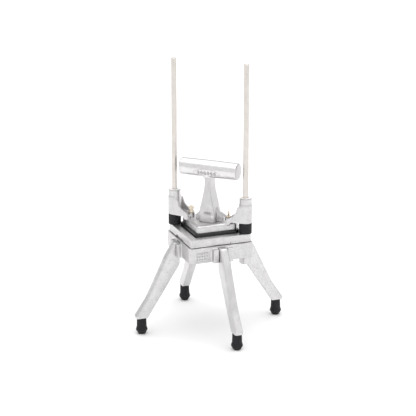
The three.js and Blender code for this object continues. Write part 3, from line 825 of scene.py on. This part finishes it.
def blade(bottom, top, lug_bottom):
    """A strip along X, sharp along its top. Its two ends reach down to lug_bottom, or only to it."""
    edge = 0.06
    grind = 1
    overlap = 0.5
    section = [(-BLADE_HALF, bottom), (BLADE_HALF, bottom), (BLADE_HALF, top - grind),
               (edge, top), (-edge, top), (-BLADE_HALF, top - grind)]
    strip = loft([[(x, y, z) for y, z in section] for x in (-BLADE_REACH, BLADE_REACH)])
    start = OPENING_HALF - GAP
    thickness = (-BLADE_HALF, BLADE_HALF)
    if lug_bottom < bottom:
        lugs = [block(sorted((side * start, side * BLADE_REACH)), thickness,
                      (lug_bottom, bottom + overlap)) for side in (1, -1)]
        return joined(strip, *lugs)
    steps = [block(sorted((side * (start + overlap), side * (BLADE_REACH + overlap))), thickness,
                   (bottom - overlap, lug_bottom)) for side in (1, -1)]
    return cut(strip, *steps)


def retaining_bar():
    return block((OPENING_HALF + GAP, BLADE_REACH), (-BAR_HALF_LENGTH, BAR_HALF_LENGTH),
                 (BAR_BOTTOM, BAR_TOP))


# ---------------------------------------------------------------- head


def web_outline():
    """Side view of an arm's web, from the rod's boss down to the plate."""
    sweep = [(59.5, 243), (57.2, 236), (55, 230.5), (51.5, 225.8), (46.5, 222), (41, 219.2),
             (37.6, 216.6), (ARM_END, 213.4)]
    return [(ROD_X, BOSS_BOTTOM), (ROD_X, 243), *smooth_curve(sweep, 4),
            (ARM_END, RECESS_FLOOR - 1), (44, RECESS_FLOOR - 1), (46.5, BOSS_BOTTOM)]


def arm_web(side):
    y = sorted((side * BOSS_RADIUS, side * (BOSS_RADIUS - WEB)))
    web = shifted(slab(web_outline(), y), x=-ROD_X)
    return shifted(spun(web, -side * math.degrees(ARM_SPREAD)), x=ROD_X)


def arm():
    boss = lathe([(0, BOSS_BOTTOM), (BOSS_RADIUS, BOSS_BOTTOM), (BOSS_RADIUS, BOSS_NECK),
                  (BOSS_NECK_RADIUS, BOSS_NECK + 1.2), (BOSS_NECK_RADIUS, HEAD_TOP + 1),
                  (0, HEAD_TOP + 1)], ROD_X)
    floor = slab([(ROD_X, BOSS_BOTTOM), (ROD_X, 215.5), (50, 215.5), (42, 213.6),
                  (ARM_END, 211.8), (ARM_END, RECESS_FLOOR - 1), (44, RECESS_FLOOR - 1),
                  (46.5, BOSS_BOTTOM)], (-BOSS_RADIUS + 1, BOSS_RADIUS - 1))
    pad = post(PAD_RADIUS, RECESS_FLOOR - 1, PAD_TOP + 0.8, SCREW_X)
    return joined(boss, floor, pad, arm_web(1), arm_web(-1))


def head_plate():
    """The square plate: upright sides, a rounded top edge and a shallow recess."""
    edge = 4
    rim = [(PLATE_HALF, PLATE_BOTTOM - 2)]
    for step in range(7):
        angle = step / 6 * math.pi / 2
        rim.append((PLATE_HALF - edge * (1 - math.cos(angle)),
                    PLATE_TOP - edge * (1 - math.sin(angle))))
    plate = column([(square(half, half, PLATE_CORNER), z) for half, z in rim])
    recess = column([(square(RECESS_HALF, RECESS_HALF, 3), RECESS_FLOOR),
                     (square(RECESS_HALF + 0.8, RECESS_HALF + 0.8, 3), PLATE_TOP + 0.5)])
    return spun(cut(plate, recess), 45)


def head_casting():
    body = cast(joined(head_plate(), arm(), spun(arm(), 180)), 0.65, 5)
    beyond = 6
    below = PLATE_HALF * 2
    cuts = [block((-below, below), (-below, below), (PLATE_BOTTOM - beyond, PLATE_BOTTOM))]
    for sign in (1, -1):
        x = ROD_X * sign
        cuts += [
            post(BOSS_RADIUS + 2, HEAD_TOP, HEAD_TOP + beyond, x),
            post(BUSHING_RADIUS, BOSS_BOTTOM - 1, BUSHING_SHOULDERS[0], x),
            post(BUSHING_RADIUS - 1.5, BOSS_BOTTOM - 1, HEAD_TOP + 1, x),
            post(BUSHING_RADIUS, BUSHING_SHOULDERS[1], HEAD_TOP + 1, x),
            post(PAD_RADIUS + 0.4, PAD_TOP, PAD_TOP + beyond, SCREW_X * sign),
            post(THUMB_SCREW_RADIUS + GAP, PLATE_BOTTOM - 1, PAD_TOP + 1, SCREW_X * sign,
                 sides=SMALL_ROUND),
            post(HANDLE_SCREW_RADIUS + GAP, PLATE_BOTTOM - 1, PLATE_TOP, HANDLE_SCREW_X * sign,
                 sides=SMALL_ROUND),
            post(HANDLE_SCREW_RADIUS * 2, PLATE_BOTTOM - 1, PLATE_BOTTOM + SCREW_HEAD_ROOM,
                 HANDLE_SCREW_X * sign, sides=SMALL_ROUND),
        ]
    return cut(body, *cuts)


def mark_recess(ob):
    """Gives the second material to the floor of the plate's recess."""
    for face in ob.data.polygons:
        if face.normal.z > 0.99 and abs(face.center.z / MM - RECESS_FLOOR) < 1:
            face.material_index = 1


def lower_bushing():
    low, high = (corner.z for corner in span("bushing_lower_left"))
    inner = ROD_RADIUS + GAP
    outer = BUSHING_RADIUS - GAP
    return lathe(rounded([(inner, low, 0.4), (outer, low, 0.3), (outer, high, 0.3),
                          (inner, high, 0.3)]))


def upper_bushing():
    low, high = (corner.z for corner in span("bushing_upper_left"))
    inner = ROD_RADIUS + GAP
    outer = BUSHING_RADIUS - GAP
    seat = HEAD_TOP + GAP
    return lathe(rounded([(inner, low, 0.3), (outer, low, 0.3), (outer, seat, 0), (9.8, seat, 0.3),
                          (9.8, high, 0.5), (inner, high, 0.4)]))


# ---------------------------------------------------------------- T handle


def grip():
    profile = rounded([(0, -GRIP_HALF, 0), (GRIP_RADIUS - 0.4, -GRIP_HALF, 3.4),
                       (GRIP_RADIUS, 0, 0), (GRIP_RADIUS - 0.4, GRIP_HALF, 3.4),
                       (0, GRIP_HALF, 0)], closed=False, steps=6)
    return shifted(spun(lathe(profile), 90, "Y"), z=GRIP_AXIS)


def stem():
    """Wide across the foot, narrow in X towards the grip: half sizes in x and y at each height."""
    knots = [(16.6, 15, 218), (15.8, 15, 224), (14.1, 15, 232), (11.9, 14.8, 242),
             (9.9, 14.4, 251), (7.8, 13.6, 262), (6.3, 12.8, 274), (5.6, 12.4, 285),
             (6.6, 12.7, 291), (9.4, 13.2, 295.5), (12, 13.2, 300)]
    return column([(square(x, y, 2.2), z) for x, y, z in smooth_curve(knots, 4)])


def handle_foot():
    knots = [(16.8, 17.6, HANDLE_BOTTOM), (17.2, 18, HANDLE_BOTTOM + 1), (17.2, 18, 216.3),
             (16.8, 17.6, 218.2), (15.8, 16.6, 219.4)]
    return column([(square(x, y, 10), z) for x, y, z in knots])


def gusset():
    sweep = smooth_curve([(27, 214.5), (25.4, 217.6), (21.6, 221), (18, 226), (14, 233)], 4)
    return slab([(10, HANDLE_BOTTOM), (27, HANDLE_BOTTOM), *sweep], (-4.5, 4.5))


def on_grip(along, around, height=0):
    """A point on the grip's front: along it, and around it in millimetres below the middle."""
    angle = around / GRIP_RADIUS
    radius = GRIP_RADIUS + height
    return (along, -radius * math.cos(angle), GRIP_AXIS - radius * math.sin(angle))


def studs(places, half_width, half_height, surface):
    """Lozenge studs, each in a moat. Returns the moats to cut and the studs to add."""
    moats = []
    raised = []
    for a, b in places:
        def ring(grow, height):
            return [surface(a + p * half_width * grow, b + q * half_height * grow, height)
                    for p, q in LOZENGE]
        moats.append(loft([ring(1, -1.4), ring(1.1, 1.2)]))
        raised.append(loft([ring(0.62, -1.8), ring(0.55, 0.4), ring(0.3, 0.9)]))
    return moats, raised


def grip_medallion():
    """A plain oval groove with a row of six lozenge studs inside it."""
    centre = 5
    turns = [2 * math.pi * i / 96 for i in range(96)]
    groove = tube([on_grip(25.5 * math.cos(t), centre + 7.4 * math.sin(t)) for t in turns], 1.1)
    places = [((i - 2.5) * 6.6, centre) for i in range(6)]
    moats, raised = studs(places, 2.9, 4.4, on_grip)
    return [groove, *moats], raised


def stem_mark():
    """Three lozenge studs low on the stem's front."""
    centre_x, centre_z = 1.6, 224.6

    def on_stem(a, b, height):
        return (centre_x + a, -15.2 - height, centre_z - b)

    return studs([(-4.6, 0), (0, 0), (4.6, 0)], 2.3, 3.2, on_stem)


def tee_handle():
    body = joined(handle_foot(), stem(), grip(), gusset(), spun(gusset(), 180))
    body = cast(body, 0.6, 6)
    for moats, raised in (grip_medallion(), stem_mark()):
        body = joined(cut(body, *moats), *raised)
    screw_holes = [post(HANDLE_SCREW_RADIUS + GAP, HANDLE_BOTTOM - 1, HANDLE_SCREW_TOP + GAP,
                        HANDLE_SCREW_X * sign, sides=SMALL_ROUND) for sign in (1, -1)]
    return cut(body, *screw_holes)


def mark_polished(ob):
    """Gives the second material to the round of the grip."""
    for face in ob.data.polygons:
        centre = face.center / MM
        around = abs(face.normal.x) < 0.8
        if around and math.hypot(centre.y, centre.z - GRIP_AXIS) < GRIP_RADIUS + 2:
            face.material_index = 1


def handle_screw():
    low, high = (corner.z for corner in span("handle_screw_left"))
    head = 4.5
    shank = HANDLE_SCREW_RADIUS
    under_head = low + SCREW_HEAD_ROOM - 2 * GAP
    return lathe(rounded([(0, low, 0), (head, low, 0.5), (head, under_head, 0.2),
                          (shank, under_head, 0.2), (shank, high, 0.5), (0, high, 0)],
                         closed=False), sides=SMALL_ROUND)


# ---------------------------------------------------------------- pusher block


def finger():
    levels = [(4.5, FINGER_TIP), (4.85, FINGER_TIP + 0.15), (5, FINGER_TIP + 0.5),
              (5.45, BLOCK_BOTTOM + 1)]
    return column([(square(half, half, 0.7, steps=3), z) for half, z in levels])


def pusher_block():
    edge = 1.6
    rims = [(BLOCK_HALF - 0.5, BLOCK_BOTTOM), (BLOCK_HALF, BLOCK_BOTTOM + 0.5)]
    for step in range(5):
        angle = step / 4 * math.pi / 2
        rims.append((BLOCK_HALF - edge * (1 - math.cos(angle)),
                     BLOCK_TOP - edge * (1 - math.sin(angle))))
    plate = column([(square(half, half, BLOCK_CORNER), z) for half, z in rims])
    last = BLADE_COUNT // 2
    bm = bmesh.new()
    for column_index in range(-last, last + 1):
        for row in range(-last, last + 1):
            one = shifted(finger(), column_index * CELL, row * CELL)
            bm.from_mesh(one.data)
            bpy.data.objects.remove(one)
    fingers = from_bmesh(bm)
    outline = square(BLOCK_HALF, BLOCK_HALF, BLOCK_CORNER)
    envelope = prism(outline, FINGER_TIP - 1, BLOCK_BOTTOM + 0.8)
    body = joined(plate, combined("INTERSECT", fingers, [envelope]))
    side = SCREW_X / math.sqrt(2)
    hole_bottom = 186
    screw_holes = [post(THUMB_SCREW_RADIUS + GAP, hole_bottom, BLOCK_TOP + 1, side * sign,
                        -side * sign, SMALL_ROUND) for sign in (1, -1)]
    return cut(body, *screw_holes)


# ---------------------------------------------------------------- thumb screws


def thumb_screw():
    """A rounded wing on a collar, on a shank that threads into the pusher block."""
    seat = PAD_TOP + GAP
    half_width, half_height = 5.5, 4.3
    centre = SCREW_TOP - half_height - 0.1
    radius = THUMB_SCREW_RADIUS
    shank = lathe(rounded([(0, SCREW_BOTTOM, 0), (radius, SCREW_BOTTOM, 0.8),
                           (radius, seat + 1, 0), (0, seat + 1, 0)],
                          closed=False), sides=SMALL_ROUND)
    collar = lathe(rounded([(0, seat, 0), (5, seat, 0.3), (5, seat + 1.6, 0.5),
                            (3.4, seat + 2.6, 0.5), (0, seat + 2.8, 0)], closed=False))
    outline = [(-1.9, seat + 2), (1.9, seat + 2)]
    arc = 24
    for step in range(arc + 1):
        angle = math.radians(-70 + 320 * step / arc)
        outline.append((half_width * math.cos(angle), centre + half_height * math.sin(angle)))
    wing = slab(outline, (-1.5, 1.5))
    return cast(joined(shank, collar, wing), 0.28, 4)


# ---------------------------------------------------------------- all pieces

TURN = 45

finished(base_casting(), "base_casting", "base", CAST, TURN)
frame_piece = finished(blade_frame(), "blade_frame", "base", [CAST, MACHINED], TURN)
mark_machined(frame_piece)

leg_shape = leg()
foot_shape = rubber_foot()
bolt_shape = leg_bolt()
bar_shape = retaining_bar()
screw_shape = bar_screw()
for quarter, side in enumerate(SIDES):
    turn = TURN + 90 * quarter
    finished(copied(leg_shape), f"leg_{side}", "base", LEG_CAST, turn)
    finished(copied(foot_shape), f"foot_{side}", "base", RUBBER, turn)
    finished(copied(bolt_shape), f"leg_bolt_{side}", "base", ZINC, turn)
    bar = cut(copied(bar_shape), *[shifted(bar_screw(GAP), y=end * BAR_SCREW_OFFSET)
                                   for end in (-1, 1)])
    finished(bar, f"blade_bar_{side}", "base", ZINC, turn)
    for number, end in enumerate((-1, 1), 1):
        screw = shifted(copied(screw_shape), y=end * BAR_SCREW_OFFSET)
        finished(screw, f"bar_screw_{side}_{number}", "base", ZINC, turn)
for used in (leg_shape, foot_shape, bolt_shape, bar_shape, screw_shape):
    bpy.data.objects.remove(used)

lug_bottom = BAR_TOP + GAP
for number, offset in enumerate(BLADE_OFFSETS, 1):
    upper = shifted(blade(UPPER_BLADE[1] - UPPER_BLADE_HEIGHT, UPPER_BLADE[1], lug_bottom), y=offset)
    finished(upper, f"blade_upper_{number}", "base", BLADE, TURN, crease=20)
    lower = blade(LOWER_BLADE[0], LOWER_BLADE[1], lug_bottom)
    lower = shifted(spun(lower, 90), x=offset)
    finished(lower, f"blade_lower_{number}", "base", BLADE, TURN, crease=20)

for side, sign in RODS.items():
    at_rod = (ROD_X * sign, 0, 0)
    finished(guide_rod(), f"guide_rod_{side}", "base", STAINLESS, place=at_rod)
    finished(rod_washer(), f"rod_washer_{side}", "base", ZINC, place=at_rod)
    finished(rod_nut(), f"rod_nut_{side}", "base", ZINC, place=at_rod)
    finished(bumper(), f"bumper_{side}", "base", RUBBER, place=at_rod)
    finished(lower_bushing(), f"bushing_lower_{side}", "head", NYLON, place=at_rod)
    finished(upper_bushing(), f"bushing_upper_{side}", "head", NYLON, place=at_rod)
    finished(handle_screw(), f"handle_screw_{side}", "head", ZINC,
             place=(HANDLE_SCREW_X * sign, 0, 0))

head_piece = finished(head_casting(), "head_casting", "head", [CAST, MACHINED])
mark_recess(head_piece)
handle_piece = finished(tee_handle(), "tee_handle", "head", [HANDLE_CAST, POLISHED])
mark_polished(handle_piece)
finished(pusher_block(), "pusher_block", "head", PLASTIC, TURN)

SCREW_TURNS = {"left": 24, "right": -62}
for side, sign in RODS.items():
    finished(thumb_screw(), f"thumb_screw_{side}", f"thumb_screw_{side}", BRASS,
             SCREW_TURNS[side], (SCREW_X * sign, 0, 0))

# ---------------------------------------------------------------- studio

AZIMUTH = math.radians(23.74)
ELEVATION = math.radians(17.33)
DISTANCE = 2.681
TARGET = Vector((-0.003, -0.0013, 0.2303))
LENS = 124.5
FLOOR_SIZE = 30.0
BRIGHT_SIDE = (0.7, -0.7, 0.0)
BRIGHT_PATCH = (0.0, 0.12, 0.99)


def aimed(ob, place, target):
    ob.location = place
    ob.rotation_mode = "QUATERNION"
    ob.rotation_quaternion = (target - Vector(place)).to_track_quat("-Z", "Y")
    scene.collection.objects.link(ob)


def camera():
    data = bpy.data.cameras.new("camera")
    data.lens = LENS
    data.clip_start = 0.1
    data.clip_end = 100
    back = Vector((math.sin(AZIMUTH) * math.cos(ELEVATION),
                   -math.cos(AZIMUTH) * math.cos(ELEVATION), math.sin(ELEVATION)))
    ob = bpy.data.objects.new("camera", data)
    aimed(ob, TARGET + back * DISTANCE, TARGET)
    scene.camera = ob


def studio_world():
    """Soft room light: a broad bright patch overhead, dimmer on the left."""
    world = bpy.data.worlds.new("studio")
    world.use_nodes = True
    nodes = world.node_tree.nodes
    links = world.node_tree.links
    nodes["Background"].inputs["Color"].default_value = (1, 1, 1, 1)
    direction = nodes.new("ShaderNodeTexCoord").outputs["Generated"]

    def brightness(towards, start, end, low, high):
        """Goes from low to high as the direction turns towards the given one."""
        facing = nodes.new("ShaderNodeVectorMath")
        facing.operation = "DOT_PRODUCT"
        facing.inputs[1].default_value = towards
        links.new(direction, facing.inputs[0])
        ramp = nodes.new("ShaderNodeMapRange")
        ramp.interpolation_type = "SMOOTHSTEP"
        for name, value in (("From Min", start), ("From Max", end),
                            ("To Min", low), ("To Max", high)):
            ramp.inputs[name].default_value = value
        links.new(facing.outputs["Value"], ramp.inputs["Value"])
        return ramp.outputs["Result"]

    total = nodes.new("ShaderNodeMath")
    total.operation = "ADD"
    links.new(brightness(BRIGHT_SIDE, -1.0, 1.0, 0.76, 0.99), total.inputs[0])
    links.new(brightness(BRIGHT_PATCH, 0.7, 0.88, 0.0, 1.1), total.inputs[1])
    links.new(total.outputs["Value"], nodes["Background"].inputs["Strength"])
    scene.world = world


def overhead_light():
    """A very large soft light above."""
    data = bpy.data.lights.new("overhead", "SUN")
    data.energy = 0.4
    data.angle = math.radians(100)
    ob = bpy.data.objects.new("overhead", data)
    aimed(ob, Vector((0.1, 0.2, 2.0)), Vector((0, 0, 0)))


def floor():
    bm = bmesh.new()
    bmesh.ops.create_grid(bm, x_segments=1, y_segments=1, size=FLOOR_SIZE / 2)
    ob = from_bmesh(bm, "floor")
    n = Nodes("floor")
    n.set(Metallic=0.0, Specular_IOR_Level=0.1)
    paper = n.noise(900, detail=2)
    n.colour(n.blended(paper, (0.90, 0.90, 0.90), (0.92, 0.92, 0.92)))
    n.roughness(n.ranged(paper, 0.8, 0.9))
    ob.data.materials.append(n.material)


camera()
studio_world()
overhead_light()
floor()
scene.view_settings.view_transform = "Standard"
